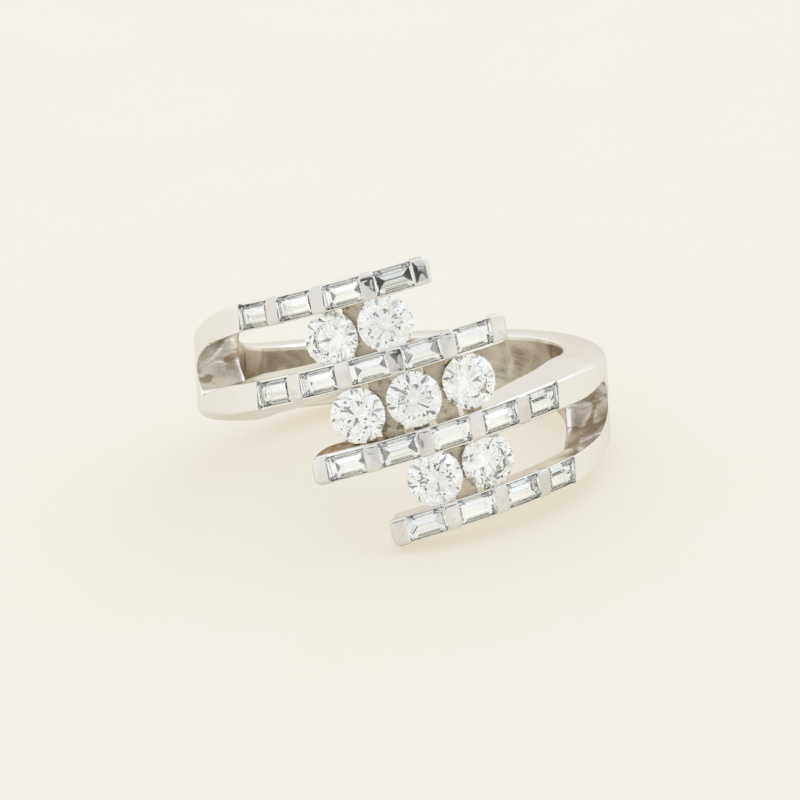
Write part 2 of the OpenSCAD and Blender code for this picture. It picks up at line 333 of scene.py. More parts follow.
def forkWall(low, high, lowSide, highSide, start, end):
    rows = []
    for a in angles(start, end, band["angleStep"]):
        bore = table(band["boreRounding"], a)
        lowRound = table(band["lowRounding"], a) if low == lowerEdge else band["barEdgeRound"]
        highRound = table(band["highRounding"], a) if high == upperEdge else band["barEdgeRound"]
        bulge = table(band["innerBulge"], a) if low == lowerEdge else 0.0
        lowOutline = profile(innerRadius, outerRadius, bore, lowRound, -1, bulge)
        highOutline = profile(innerRadius, outerRadius, bore, highRound, -1)
        lowClimb = slotClimb(a, *lowSide, low) if lowSide else 0.0
        highClimb = slotClimb(a, *highSide, high) if highSide else 0.0
        rows.append((a, (
            (edgeHeight(a, low), lowClimb, 0.0, -1.0, lowOutline),
            (edgeHeight(a, high), highClimb, 0.0, 1.0, highOutline),
        )))
    return bentWall(rows, "fork")


slot = {
    "start": 55.0,
    "rimEnd": (79.0, 86.0),
    "boreEnd": (75.0, 90.0),
    "leanFrom": 57.0,
    "lowCorner": (0.5, 0.3),
    "highCorner": (3.4, 1.0),
    "dish": 2.0,
    "boreRound": 0.3,
    "rimRound": 0.1,
    "wallLeft": 0.45,
    "across": 10,
    "layers": 8,
    "cornerSteps": 12,
}


def slotCutter():
    # the end wall leans over towards the finger hole and is dished
    end = ring["slotEnd"]
    fullAtMiddle = 16  # lifts s(1-s)t(1-t) to 1 where both are a half
    cornerTurn = 90 / slot["cornerSteps"]
    lowLong, lowTall = slot["lowCorner"]
    highLong, highTall = slot["highCorner"]
    sweep = angles(slot["start"], end - highLong * degPerMm, band["angleStep"])
    for k in range(1, slot["cornerSteps"] + 1):
        sweep.append(end - highLong * degPerMm * (1 - sinDeg(cornerTurn * k)))
    outline = profile(innerRadius, outerRadius, slot["boreRound"], slot["rimRound"], 1)

    def place(i, j, k):
        s = j / slot["across"]
        r, out = outline[k]
        t = min(1.0, max(0.0, (outerRadius - r) / (outerRadius - innerRadius)))
        rim = mix(slot["rimEnd"][0], slot["rimEnd"][1], s)
        bore = mix(slot["boreEnd"][0], slot["boreEnd"][1], soft(s))
        dish = slot["dish"] * fullAtMiddle * s * (1 - s) * t * (1 - t)
        d = (end - sweep[i]) / degPerMm
        a = sweep[i] + soft((sweep[i] - slot["leanFrom"]) / (end - slot["leanFrom"])) * (
            mix(rim, bore, t) + dish - end
        )
        lowLean, lowUp = cornerWay(d, lowLong)
        highLean, highUp = cornerWay(d, highLong)
        if i == len(sweep) - 1:
            lowLean = 1.0
        depth = outerRadius - r
        low = edgeHeight(a, slotLower) + slotClimb(a, *innerBar, slotLower) * depth
        low += cornerCut(d, lowLong) * lowTall / lowLong - lowUp * out
        high = edgeHeight(a, slotUpper) + slotClimb(a, *outerBar, slotUpper) * depth
        high = min(high, edgeHeight(a, upperEdge) - slot["wallLeft"])
        high += highUp * out - cornerCut(d, highLong) * highTall / highLong
        return onRing(a + mix(lowLean, highLean, s) * out * degPerMm, r, mix(low, high, s))

    bm = bmesh.new()
    blockSkin(bm, (len(sweep) - 1, slot["across"], len(outline) - 1), place)
    return closed(bm, "slot")


def barBlank(mid, start, stop, startCorners, stopCorners, outer):
    # corners are the low and the high one of each end, and no corner means a hidden end
    side = -1 if mid > ring["innerBarHeight"] else 1
    sweep = set(angles(start, stop, band["angleStep"]))
    cornerTurn = 90 / band["roundSteps"]
    for end, way, corners in ((start, 1, startCorners), (stop, -1, stopCorners)):
        for corner in corners:
            for k in range(band["roundSteps"] + 1):
                sweep.add(end + way * corner * degPerMm * (1 - cosDeg(cornerTurn * k)))
    sweep = {round(a, band["angleDigits"]) for a in sweep}
    rows = []
    for a in sorted(sweep):
        sides = []
        for level, sign in ((0, -1), (1, 1)):
            cut, along, up = 0.0, 0.0, 1.0
            for end, way, corners in ((start, -1, startCorners), (stop, 1, stopCorners)):
                d = abs(a - end) / degPerMm
                if corners and d < corners[level]:
                    cut = cornerCut(d, corners[level])
                    lean, up = cornerWay(d, corners[level])
                    along = way * -lean
            climb = ring["barRise"] * sinDeg(a) if side == sign else 0.0
            climb += table(band["topLean"], a) if sign == 1 else 0.0
            bulge = table(band["innerBulge"], a) if side == 1 and sign == -1 else 0.0
            edge = band["barEdgeRound"]
            outline = profile(innerRadius, outer, edge, edge, -1, bulge)
            z = barMiddle(mid, a) + sign * (barHalf - cut)
            sides.append((z, climb, -along, sign * up, outline))
        rows.append((a, sides))
    return bentWall(rows, "bar")


cross = {
    "width": 0.86,
    "sideGap": 0.02,
    "depth": 0.4,
    "corner": 0.24,
    "capCorner": 0.12,
    "roundAlong": 0.09,
    "roundAcross": 0.24,
    "capRoundAlong": 0.2,
    "roundTall": 0.11,
    "dome": 0.02,
    "domeShares": (0.2, 0.4, 0.6, 0.8, 0.95),
    "tip": 0.035,
    "capTip": 0.075,
    "cornerSteps": 7,
    "shoulderSteps": 5,
    "leastCorner": 0.004,
    "leastTopCorner": 0.03,
    "sideLeft": 0.002,
}
halfCross = ring["crossThickness"] / 2 * degPerMm
# height of each kind of bar, and the side of it that faces the slot
outerBar = (ring["outerBarHeight"], -1)
innerBar = (ring["innerBarHeight"], 1)

arm = forkWall(lowerEdge, upperEdge, None, None, band["start"], band["end"])
combine(arm, slotCutter(), "DIFFERENCE")
lowFork = forkWall(lowerEdge, slotLower, None, innerBar, innerRoot - halfCross, band["start"])
combine(arm, lowFork, "UNION")
highFork = forkWall(slotUpper, upperEdge, outerBar, None, outerRoot - halfCross, band["start"])
combine(arm, highFork, "UNION")
for mid, end, root, lowCorner in (
    (ring["outerBarHeight"], outerEnd, outerRoot, band["outerLowCorner"]),
    (ring["innerBarHeight"], innerEnd, innerRoot, band["innerLowCorner"]),
):
    freeCorners = (lowCorner, band["upperCorner"])
    combine(arm, barBlank(mid, end, root - halfCross, freeCorners, (), rimRadius), "UNION")
print("left half of the metal:", len(arm.data.polygons), "faces")


def roundedOutline(halfX, halfY, corners, skew):
    # corner radii go round from the right upper one, against the clock
    points = []
    steps, left = cross["cornerSteps"], cross["sideLeft"]
    for quarter, (sx, sy) in enumerate(((1, 1), (-1, 1), (-1, -1), (1, -1))):
        corner = max(cross["leastCorner"], min(corners[quarter], halfX - left, halfY - left))
        for k in range(steps + 1):
            t = quarterTurn * (quarter + k / steps)
            x = sx * (halfX - corner) + corner * math.cos(t)
            y = sy * (halfY - corner) + corner * math.sin(t)
            points.append((x + skew * y, y))
    return points


def stack(bm, place, levels):
    # closed skin over outlines above one another, whose height may depend on x and y
    rings = []
    for z, outline in levels:
        points = [(x, y, z(x, y) if callable(z) else z) for x, y in outline]
        rings.append([bm.verts.new(place @ Vector(point)) for point in points])
    n = len(rings[0])
    for one, two in zip(rings, rings[1:]):
        for k in range(n):
            bm.faces.new((one[k], one[(k + 1) % n], two[(k + 1) % n], two[k]))
    bm.faces.new(rings[0][::-1])
    bm.faces.new(rings[-1])


def pillow(bm, place, halfX, halfY, corners, roundAlong, tip):
    # a cross-bar: straight sides, rounded shoulders and a slightly domed top
    height, tall, roundAcross = ring["crossHeight"], cross["roundTall"], cross["roundAcross"]
    levels = [(-cross["depth"], 0.0, 0.0), (0.0, 0.0, 0.0)]
    for k in range(cross["shoulderSteps"] + 1):
        t = 90 * k / cross["shoulderSteps"]
        z, inwards = height - tall * (1 - sinDeg(t)), 1 - cosDeg(t)
        levels.append((z, roundAlong * inwards, roundAcross * inwards))
    for s in cross["domeShares"]:
        levels.append((height, mix(roundAlong, halfX, s), mix(roundAcross, halfY, s)))
    topX, topY = halfX - roundAlong, halfY - roundAcross

    def crown(z, x, y):
        # the top swells over both ways, and leans a little
        swell = max(0.0, 1 - (x / topX) ** 2) * max(0.0, 1 - (y / topY) ** 2)
        return z + (cross["dome"] * swell if z >= height else 0.0) - tip * y / halfY

    outlines = []
    for z, inX, inY in levels:
        kept = [max(cross["leastTopCorner"], c - inX) for c in corners]
        outline = roundedOutline(halfX - inX, halfY - inY, kept, ring["crossSkew"])
        outlines.append((partial(crown, z) if z > 0 else z, outline))
    stack(bm, place, outlines)


def crossBars():
    bm = bmesh.new()
    halfY = ring["barWidth"] / 2 - cross["sideGap"]
    plain = cross["corner"]
    for mid, root, step, count, pitch in barKinds:
        isOuter = mid == ring["outerBarHeight"]
        lowCorner = band["outerLowCorner"] if isOuter else band["innerLowCorner"]
        tip = cross["tip"] if isOuter else 0.0
        for i in range(1, count):
            a = root - i * step
            if i < count - 1:
                place = onBand(a, barMiddle(mid, a), rimRadius)
                pillow(bm, place, cross["width"] / 2, halfY, [plain] * 4, cross["roundAlong"], tip)
            else:  # the cap runs from the last stone to the bar's end
                left, right = cross["width"] / 2, ring["capLength"] / 2 - cross["sideGap"]
                a -= (right - left) / 2 * degPerMm
                place = onBand(a, barMiddle(mid, a), rimRadius)
                corners = [band["upperCorner"], cross["capCorner"], cross["capCorner"], lowCorner]
                halfX, capTip = (left + right) / 2, cross["capTip"] if isOuter else 0.0
                pillow(bm, place, halfX, halfY, corners, cross["capRoundAlong"], capTip)
    return closed(bm, "crossBars")


combine(arm, crossBars(), "UNION")

baguette = {
    "length": 2.32,
    "width": 1.24,
    "crown": 0.16,
    "girdle": 0.05,
    "depth": 0.74,
    "below": 0.08,
    "gap": 0.02,
    "tableIn": 0.19,
    "keelWidth": 0.06,
    "openSpan": (-0.02, 0.6),
    "crownSteps": ((0.0, 0.0), (0.09, 0.11), (0.16, 0.25)),
    "pavilionSteps": ((0.17, 0.125), (0.21, 0.165), (0.4, 0.33), (0.44, 0.37)),
}
baguetteRadius = rimRadius - baguette["below"]


def box(halfX, halfY, skew=0.0):
    low = [(-halfX - skew, -halfY), (halfX - skew, -halfY)]
    return low + [(halfX + skew, halfY), (-halfX + skew, halfY)]


def pavilionLevels(halfX, halfY, down=0.0):
    # the ends slope evenly at 45 degrees, and the sides in steps
    girdle = baguette["girdle"]
    keelIn = (baguette["width"] - baguette["keelWidth"]) / 2
    steps = baguette["pavilionSteps"] + ((baguette["depth"] - girdle, keelIn),)
    return [(-girdle - z - down, box(halfX - z, halfY - inset)) for z, inset in reversed(steps)]


def baguettePlaces():
    for mid, root, step, count, pitch in barKinds:
        for i in range(count - 1):
            a = root - (i + 0.5) * step
            yield mid, i, pitch, onBand(a, barMiddle(mid, a), baguetteRadius)


def baguetteRooms():
    gap = baguette["gap"]
    halfX, halfY = baguette["length"] / 2 + gap, baguette["width"] / 2 + gap
    levels = pavilionLevels(halfX, halfY, gap)
    for z, inset in (
        (-baguette["girdle"] - gap / 2, 0.0),
        (gap / 2, 0.0),
        (baguette["crown"] + gap, baguette["tableIn"]),
    ):
        levels.append((z, box(halfX - inset, halfY - inset)))
    bm = bmesh.new()
    for mid, i, pitch, place in baguettePlaces():
        stack(bm, place, levels)
    return closed(bm, "baguetteRooms")


def openStretches():
    # the bars are open above the baguettes, from one cross-bar to the next
    low, high = baguette["openSpan"]
    halfY = baguette["width"] / 2 + baguette["gap"]
    skew = ring["crossSkew"] * halfY
    bm = bmesh.new()
    for mid, i, pitch, place in baguettePlaces():
        outline = box((pitch - cross["width"]) / 2, halfY, skew)
        stack(bm, place, [(low, outline), (high, outline)])
    return closed(bm, "openStretches")


combine(arm, baguetteRooms(), "DIFFERENCE")
combine(arm, openStretches(), "DIFFERENCE")

other = bpy.data.objects.new("otherHalf", arm.data.copy())
bpy.context.collection.objects.link(other)
other.data.transform(turned)
bandOb = combine(arm, other, "UNION")
bandOb.name = "band"
print("both halves joined:", len(bandOb.data.polygons), "faces")

roundStone = {
    "diameter": 2.92,
    "pitch": 3.02,
    "below": 0.44,
    "crown": 0.43,
    "girdle": 0.06,
    "depth": 1.24,
    "places": (4.12, 1.115),
    "drop": 0.08,
    "middleSlip": 0.2,
    "middleLift": 0.04,
    "gap": 0.02,
    "tableShare": 0.606,
    "starShare": 0.78,
    "pointRadius": 0.01,
}
roundRadius = outerRadius - roundStone["below"]
outerRowHeight = (ring["outerBarHeight"] + ring["innerBarHeight"]) / 2
rowStep = roundStone["pitch"] * math.cos(barSlope) * 180 / (math.pi * roundRadius)
# clear widths between the bars
rowApart = ring["outerBarHeight"] - ring["innerBarHeight"]
outerGap = rowApart * math.cos(barSlope) - ring["barWidth"]
middleGap = 2 * ring["innerBarHeight"] * math.cos(barSlope) - ring["barWidth"]

seat = {
    "diameter": 2.6,
    "topBelow": 0.76,
    "bottomAbove": 0.95,
    "strutWidth": 0.9,
    "strutHeight": 0.6,
    "webWidth": 1.2,
    "webTopBelow": 0.74,
    "rootIn": 0.25,
    "blockCorner": 0.1,
    "edgeRound": 0.08,
    "edgeShare": 0.3,
    "sides": 64,
}


def leftRoundPlace(i):
    a = roundStone["places"][i] * degPerMm
    return onBand(a, barMiddle(outerRowHeight, a) - roundStone["drop"], roundRadius)


def middleRoundPlace(i):
    a = (1 - i) * rowStep - roundStone["middleSlip"] * degPerMm
    return onBand(a, barMiddle(roundStone["middleLift"], a), roundRadius)


def circle(r):
    turns = [fullTurn * k / seat["sides"] for k in range(seat["sides"])]
    return [(r * math.cos(t), r * math.sin(t)) for t in turns]


def roundedEnds(low, high):
    # heights with how far the edge is drawn in there
    f = seat["edgeRound"]
    part = f * seat["edgeShare"]
    bottom = [(low, f), (low + part, part), (low + f, 0)]
    return bottom + [(high - f, 0), (high - part, part), (high, f)]


def collar(place):
    low = innerRadius + seat["bottomAbove"] - roundRadius
    high = outerRadius - seat["topBelow"] - roundRadius
    half = seat["diameter"] / 2
    bm = bmesh.new()
    stack(bm, place, [(z, circle(half - inset)) for z, inset in roundedEnds(low, high)])
    return closed(bm, "collar")


def roundedBlock(place, halfX, halfY, low, high):
    corners = [seat["blockCorner"]] * 4
    bm = bmesh.new()
    stack(bm, place, [
        (z, roundedOutline(halfX - inset, halfY - inset, corners, 0.0))
        for z, inset in roundedEnds(low, high)
    ])
    return closed(bm, "block")


def joined(parts):
    whole = parts[0]
    for part in parts[1:]:
        combine(whole, part, "UNION")
    return whole


def seatParts(place, gap):
    low = innerRadius + seat["bottomAbove"] - roundRadius
    halfX, halfY = seat["strutWidth"] / 2, gap / 2 + seat["rootIn"]
    return [collar(place), roundedBlock(place, halfX, halfY, low, low + seat["strutHeight"])]


def webPart(place, gap):
    low = innerRadius + seat["bottomAbove"] - roundRadius
    high = outerRadius - seat["webTopBelow"] - roundRadius
    return roundedBlock(place, seat["webWidth"] / 2, gap / 2 + seat["rootIn"], low, high)


def roundRooms(places):
    gap, crown, girdle = roundStone["gap"], roundStone["crown"], roundStone["girdle"]
    tableShare, starShare = roundStone["tableShare"], roundStone["starShare"]
    half = roundStone["diameter"] / 2
    starTurn = 360 / 16  # from the middle of a star facet to its corner
    starHeight = crown * (1 - starShare * cosDeg(starTurn)) / (1 - tableShare)
    outline = [
        (roundStone["pointRadius"], -girdle - roundStone["depth"] - 2 * gap),
        (half + gap, -girdle - gap / 2),
        (half + gap, gap / 2),
        (half * starShare + gap, starHeight + gap),
        (half * tableShare + gap, crown + gap),
    ]
    bm = bmesh.new()
    for place in places:
        stack(bm, place, [(z, circle(r)) for r, z in outline])
    return closed(bm, "roundRooms")


leftPlaces = [leftRoundPlace(0), leftRoundPlace(1)]
webAngle = sum(roundStone["places"]) / 2 * degPerMm
webPlace = onBand(webAngle, barMiddle(outerRowHeight, webAngle), roundRadius)
middlePlaces = [middleRoundPlace(i) for i in range(3)]
roundPlaces = leftPlaces + [turned @ place for place in leftPlaces] + middlePlaces

seatList = []
for place in leftPlaces + [turned @ place for place in leftPlaces]:
    seatList += seatParts(place, outerGap)
seatList += [webPart(webPlace, outerGap), webPart(turned @ webPlace, outerGap)]
for place in middlePlaces:
    seatList += seatParts(place, middleGap)
seatList += [webPart(middleRoundPlace(0.5), middleGap), webPart(middleRoundPlace(1.5), middleGap)]
seatsOb = joined(seatList)
seatsOb.name = "seats"
combine(bandOb, seatsOb, "UNION")
combine(bandOb, roundRooms(roundPlaces), "DIFFERENCE")
print("seats added:", len(bandOb.data.polygons), "faces")


def baguetteStone(name, node, place):
    halfX, halfY = baguette["length"] / 2, baguette["width"] / 2
    levels = pavilionLevels(halfX, halfY)
    for z, inset in ((-baguette["girdle"], 0.0),) + baguette["crownSteps"]:
        levels.append((z, box(halfX - inset, halfY - inset)))
    bm = bmesh.new()
    stack(bm, place, levels)
    ob = closed(bm, name)
    ob.data.transform(Matrix.Scale(millimetre, 4) @ lie)
    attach(ob, "root")
    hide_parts(node)
    return ob


stones = []
for mid, i, pitch, place in baguettePlaces():
    rows = ("top", "bottom") if mid == ring["outerBarHeight"] else ("upper", "lower")
    for row, spot in zip(rows, (place, turned @ place)):
        stones.append(baguetteStone(f"{row}Baguette{i + 1}", f"{row}_baguette_{i + 1}", spot))
print("baguettes:", len(stones))

# where each finish of the metal lies
finishPlace = {
    "fullyFacing": 0.95,
    "facing": 0.9,
    "steep": 0.6,
    "onSkin": 0.004,
    "boreSkin": 0.05,
    "rimSkin": 0.1,
    "wallAngles": (5, 32),
    "wallSpan": (-0.03, 0.55),
    "slotEndTo": 92,
    "slotEndLow": 0.9,
    "slotEndHigh": 0.4,
    "plateTo": 44,
    "plateSkin": 0.01,
    "recessTo": 45,
    "recessBelow": 0.2,
    "besideBar": 0.02,
}


def vectors(items, name):
    flat = np.zeros(len(items) * 3, dtype=np.float32)
    items.foreach_get(name, flat)
    return flat.reshape(-1, 3)


def polish(ob, sharpest):
    # smooth shading that follows the true cylinders, whatever way the faces were cut
    ob.data.shade_smooth()
    ob.data.set_sharp_from_angle(angle=math.radians(sharpest))
    mod = ob.modifiers.new("weighted", "WEIGHTED_NORMAL")
    mod.keep_sharp = True
    graph = bpy.context.evaluated_depsgraph_get()
    mesh = bpy.data.meshes.new_from_object(ob.evaluated_get(graph))
    ob.modifiers.remove(mod)
    ob.data = mesh
    normals = vectors(mesh.corner_normals, "vector")
    loopVert = np.zeros(len(mesh.loops), dtype=np.int32)
    mesh.loops.foreach_get("vertex_index", loopVert)
    at = vectors(mesh.vertices, "co")[loopVert]
    loopFace = np.zeros(len(mesh.loops), dtype=np.int32)
    for p in mesh.polygons:
        loopFace[p.loop_start:p.loop_start + p.loop_total] = p.index
    radius = np.hypot(at[:, 0], at[:, 1])
    radial = np.zeros_like(at)
    radial[:, :2] = at[:, :2] / radius[:, None]
    facing = (vectors(mesh.polygons, "normal")[loopFace] * radial).sum(axis=1)
    closeBy, fully = finishPlace["onSkin"], finishPlace["fullyFacing"]
    onOuter = (np.abs(radius - outerRadius) < closeBy) & (facing > fully)
    onInner = (np.abs(radius - innerRadius) < closeBy) & (facing < -fully)
    normals[onOuter] = radial[onOuter]
    normals[onInner] = -radial[onInner]
    mesh.normals_split_custom_set(normals.tolist())


def finishOf(p):
    # which of the metal's finishes a face gets, by where it is and which way it faces
    polished, wornShadedBore, cutSlot, shadedRecess, shadedCrossBar = range(5)
    rule = finishPlace
    x, y, z = p.center
    way = 1 if x < 0 else -1
    r, a = math.hypot(x, y), math.degrees(math.atan2(-x * way, -y))
    radial = (p.normal[0] * x + p.normal[1] * y) / r
    # the bore is rougher and bumpier from wear, and its dark tan colour is painted shade for the
    # dim inside of the ring
    if radial < -rule["facing"] and r < innerRadius + rule["boreSkin"]:
        return wornShadedBore
    # height above the lower wall of the other half's inner bar
    overWall = innerBar[0] + ring["barRise"] * outerRadius * sinDeg(a) - barHalf + z * way
    low, high = rule["wallSpan"]
    nearEnd = rule["wallAngles"][0] < a < rule["wallAngles"][1]
    belowRim = r < rimRadius - rule["rimSkin"]
    # painted shade: steep walls beside the inner bars near the middle of the head get the dark
    # recess finish, for the shadow in the gaps there
    if nearEnd and belowRim and abs(radial) < rule["steep"] and low < overWall < high:
        return shadedRecess
    inWall = innerRadius + rule["boreSkin"] < r < outerRadius - rule["rimSkin"]
    if band["start"] < a < rule["slotEndTo"] and inWall:
        low = edgeHeight(a, lowerEdge) + rule["slotEndLow"]
        if low < z * way < edgeHeight(a, upperEdge) - rule["slotEndHigh"]:
            return cutSlot
    # the cross-bars' tops get a darker copy of the white gold: painted shade for their greyer look
    if a < rule["plateTo"] and r > rimRadius + rule["plateSkin"]:
        return shadedCrossBar
    # painted shade: walls below the rim beside the bars get the dark recess finish, for the shadow
    # between the stones and the bars
    if a < rule["recessTo"] and r < rimRadius - rule["recessBelow"] and radial > rule["facing"]:
        nearest = min(
            abs(z - sign * barMiddle(mid, sign * way * a))
            for mid in (ring["innerBarHeight"], ring["outerBarHeight"]) for sign in (1, -1)
        )
        if nearest > barHalf - rule["besideBar"]:
            return shadedRecess
    return polished


polish(bandOb, band["sharpAngle"])
finishes = [finishOf(p) for p in bandOb.data.polygons]
bandOb.data.transform(Matrix.Scale(millimetre, 4) @ lie)
print("metal polished:", sum(len(p.vertices) - 2 for p in bandOb.data.polygons), "triangles")

# finishes

effects = {
    "cloud": {"scale": 300.0, "detail": 3, "warp": 0.6, "span": (0.36, 0.64)},
    "hairlines": {"scale": 400.0, "stretch": 14.0, "detail": 5, "warp": 0.0, "span": (0.3, 0.7)},
    "blotches": {"scale": 500.0, "detail": 6, "warp": 1.4, "span": (0.545, 0.62)},
    "sideways": {"span": (0.35, 0.95)},
}


def group(name, **inputs):
    # a shader group with number inputs that puts out one mask
    tree = bpy.data.node_groups.new(name, "ShaderNodeTree")
    for label, value in inputs.items():
        socket = tree.interface.new_socket(label, in_out="INPUT", socket_type="NodeSocketFloat")
        socket.default_value = value
    tree.interface.new_socket("Mask", in_out="OUTPUT", socket_type="NodeSocketFloat")
    return tree, tree.nodes.new("NodeGroupInput"), tree.nodes.new("NodeGroupOutput")


def noise(tree, where, scale, effect):
    node = tree.nodes.new("ShaderNodeTexNoise")
    node.inputs["Detail"].default_value = effect["detail"]
    node.inputs["Distortion"].default_value = effect["warp"]
    tree.links.new(where, node.inputs["Vector"])
    tree.links.new(scale, node.inputs["Scale"])
    return remap(tree, node.outputs["Fac"], *effect["span"])


def remap(tree, value, low, high, toLow=0.0, toHigh=1.0):
    node = tree.nodes.new("ShaderNodeMapRange")
    node.interpolation_type = "SMOOTHSTEP"
    node.inputs["From Min"].default_value = low
    node.inputs["From Max"].default_value = high
    node.inputs["To Min"].default_value = toLow
    node.inputs["To Max"].default_value = toHigh
    tree.links.new(value, node.inputs["Value"])
    return node.outputs["Result"]


def patches(name):
    # a group of noise patches that stay on the object
    effect = effects[name]
    tree, before, after = group(name, Scale=effect["scale"])
    coords = tree.nodes.new("ShaderNodeTexCoord")
    mask = noise(tree, coords.outputs["Object"], before.outputs["Scale"], effect)
    tree.links.new(mask, after.inputs["Mask"])
    return tree


def hairlineGroup():
    # fine scratches that run round the finger
    effect = effects["hairlines"]
    tree, before, after = group("hairlines", Scale=effect["scale"], Stretch=effect["stretch"])
    coords = tree.nodes.new("ShaderNodeTexCoord")
    part = tree.nodes.new("ShaderNodeSeparateXYZ")
    turn = tree.nodes.new("ShaderNodeMath")
    turn.operation = "ARCTAN2"
    joinUp = tree.nodes.new("ShaderNodeCombineXYZ")
    climb = tree.nodes.new("ShaderNodeMath")
    climb.operation = "MULTIPLY"
    shrink = tree.nodes.new("ShaderNodeMath")
    shrink.operation = "MULTIPLY"
    shrink.inputs[1].default_value = ring["outerRadius"] * millimetre
    tree.links.new(coords.outputs["Object"], part.inputs["Vector"])
    tree.links.new(part.outputs["X"], turn.inputs[0])
    tree.links.new(part.outputs["Y"], turn.inputs[1])
    tree.links.new(turn.outputs["Value"], shrink.inputs[0])
    tree.links.new(part.outputs["Z"], climb.inputs[0])
    tree.links.new(before.outputs["Stretch"], climb.inputs[1])
    tree.links.new(shrink.outputs["Value"], joinUp.inputs["X"])
    tree.links.new(climb.outputs["Value"], joinUp.inputs["Z"])
    mask = noise(tree, joinUp.outputs["Vector"], before.outputs["Scale"], effect)
    tree.links.new(mask, after.inputs["Mask"])
    return tree


def sidewaysGroup():
    # picks out the surfaces that face along the finger, for the painted shade on them
    tree, before, after = group("sideways")
    coords = tree.nodes.new("ShaderNodeTexCoord")
    facing = tree.nodes.new("ShaderNodeVectorMath")
    facing.operation = "DOT_PRODUCT"
    facing.inputs[1].default_value = fingerAxis
    tree.links.new(coords.outputs["Normal"], facing.inputs[0])
    size = tree.nodes.new("ShaderNodeMath")
    size.operation = "ABSOLUTE"
    tree.links.new(facing.outputs["Value"], size.inputs[0])
    mask = remap(tree, size.outputs["Value"], *effects["sideways"]["span"])
    tree.links.new(mask, after.inputs["Mask"])
    return tree


cloud = patches("cloud")  # broad soft patches, as polish and wear leave them
blotches = patches("blotches")  # blotches with torn edges, as compound leaves in the slots; the recess finish uses them to break up its painted shade
hairlines, sideways = hairlineGroup(), sidewaysGroup()


def finish(name):
    mat = bpy.data.materials.new(name)
    mat.use_nodes = True
    return mat, mat.node_tree, mat.node_tree.nodes["Principled BSDF"]


def placed(tree, effect, **values):
    node = tree.nodes.new("ShaderNodeGroup")
    node.node_tree = effect
    for socket, number in values.items():
        node.inputs[socket].default_value = number
    return node.outputs[0]


def twoColours(tree, mask, one, two):
    node = tree.nodes.new("ShaderNodeMix")
    node.data_type = "RGBA"
    node.inputs["A"].default_value = one + (1,)
    node.inputs["B"].default_value = two + (1,)
    tree.links.new(mask, node.inputs["Factor"])
    return node.outputs["Result"]


def bump(tree, shader, height, strength, distance):
    node = tree.nodes.new("ShaderNodeBump")
    node.inputs["Strength"].default_value = strength
    node.inputs["Distance"].default_value = distance * millimetre
    tree.links.new(height, node.inputs["Height"])
    tree.links.new(node.outputs["Normal"], shader.inputs["Normal"])


def metal(name, look):
    mat, tree, shader = finish(name)
    shader.inputs["Metallic"].default_value = 1
    shader.inputs["Specular Tint"].default_value = look["edge"] + (1,)
    mask = placed(tree, blotches if look["torn"] else cloud, Scale=look["patchScale"])
    colour = twoColours(tree, mask, *look["colours"])
    if look["sides"]:  # painted shade: walls that face along the finger are made darker and warmer
        sideShade = tree.nodes.new("ShaderNodeMix")
        sideShade.data_type = "RGBA"
        sideShade.blend_type = "MULTIPLY"
        sideShade.inputs["B"].default_value = look["sides"] + (1,)
        tree.links.new(colour, sideShade.inputs["A"])
        tree.links.new(placed(tree, sideways), sideShade.inputs["Factor"])
        colour = sideShade.outputs["Result"]
    tree.links.new(colour, shader.inputs["Base Color"])
    haze = placed(tree, cloud, Scale=look["hazeScale"])
    rough = remap(tree, haze, 0, 1, *look["roughness"])
    if look["dulling"]:  # the polish fades towards the back
        coords = tree.nodes.new("ShaderNodeTexCoord")
        part = tree.nodes.new("ShaderNodeSeparateXYZ")
        total = tree.nodes.new("ShaderNodeMath")
        tree.links.new(coords.outputs["Object"], part.inputs["Vector"])
        first, last = (y * millimetre for y in look["dullSpan"])
        further = remap(tree, part.outputs["Y"], first, last, 0.0, look["dulling"])
        tree.links.new(further, total.inputs[0])
        tree.links.new(rough, total.inputs[1])
        rough = total.outputs["Value"]
    tree.links.new(rough, shader.inputs["Roughness"])
    lines = placed(tree, hairlines, Scale=look["lineScale"], Stretch=look["lineStretch"])
    bump(tree, shader, lines, look["bump"], look["bumpDepth"])
    return mat


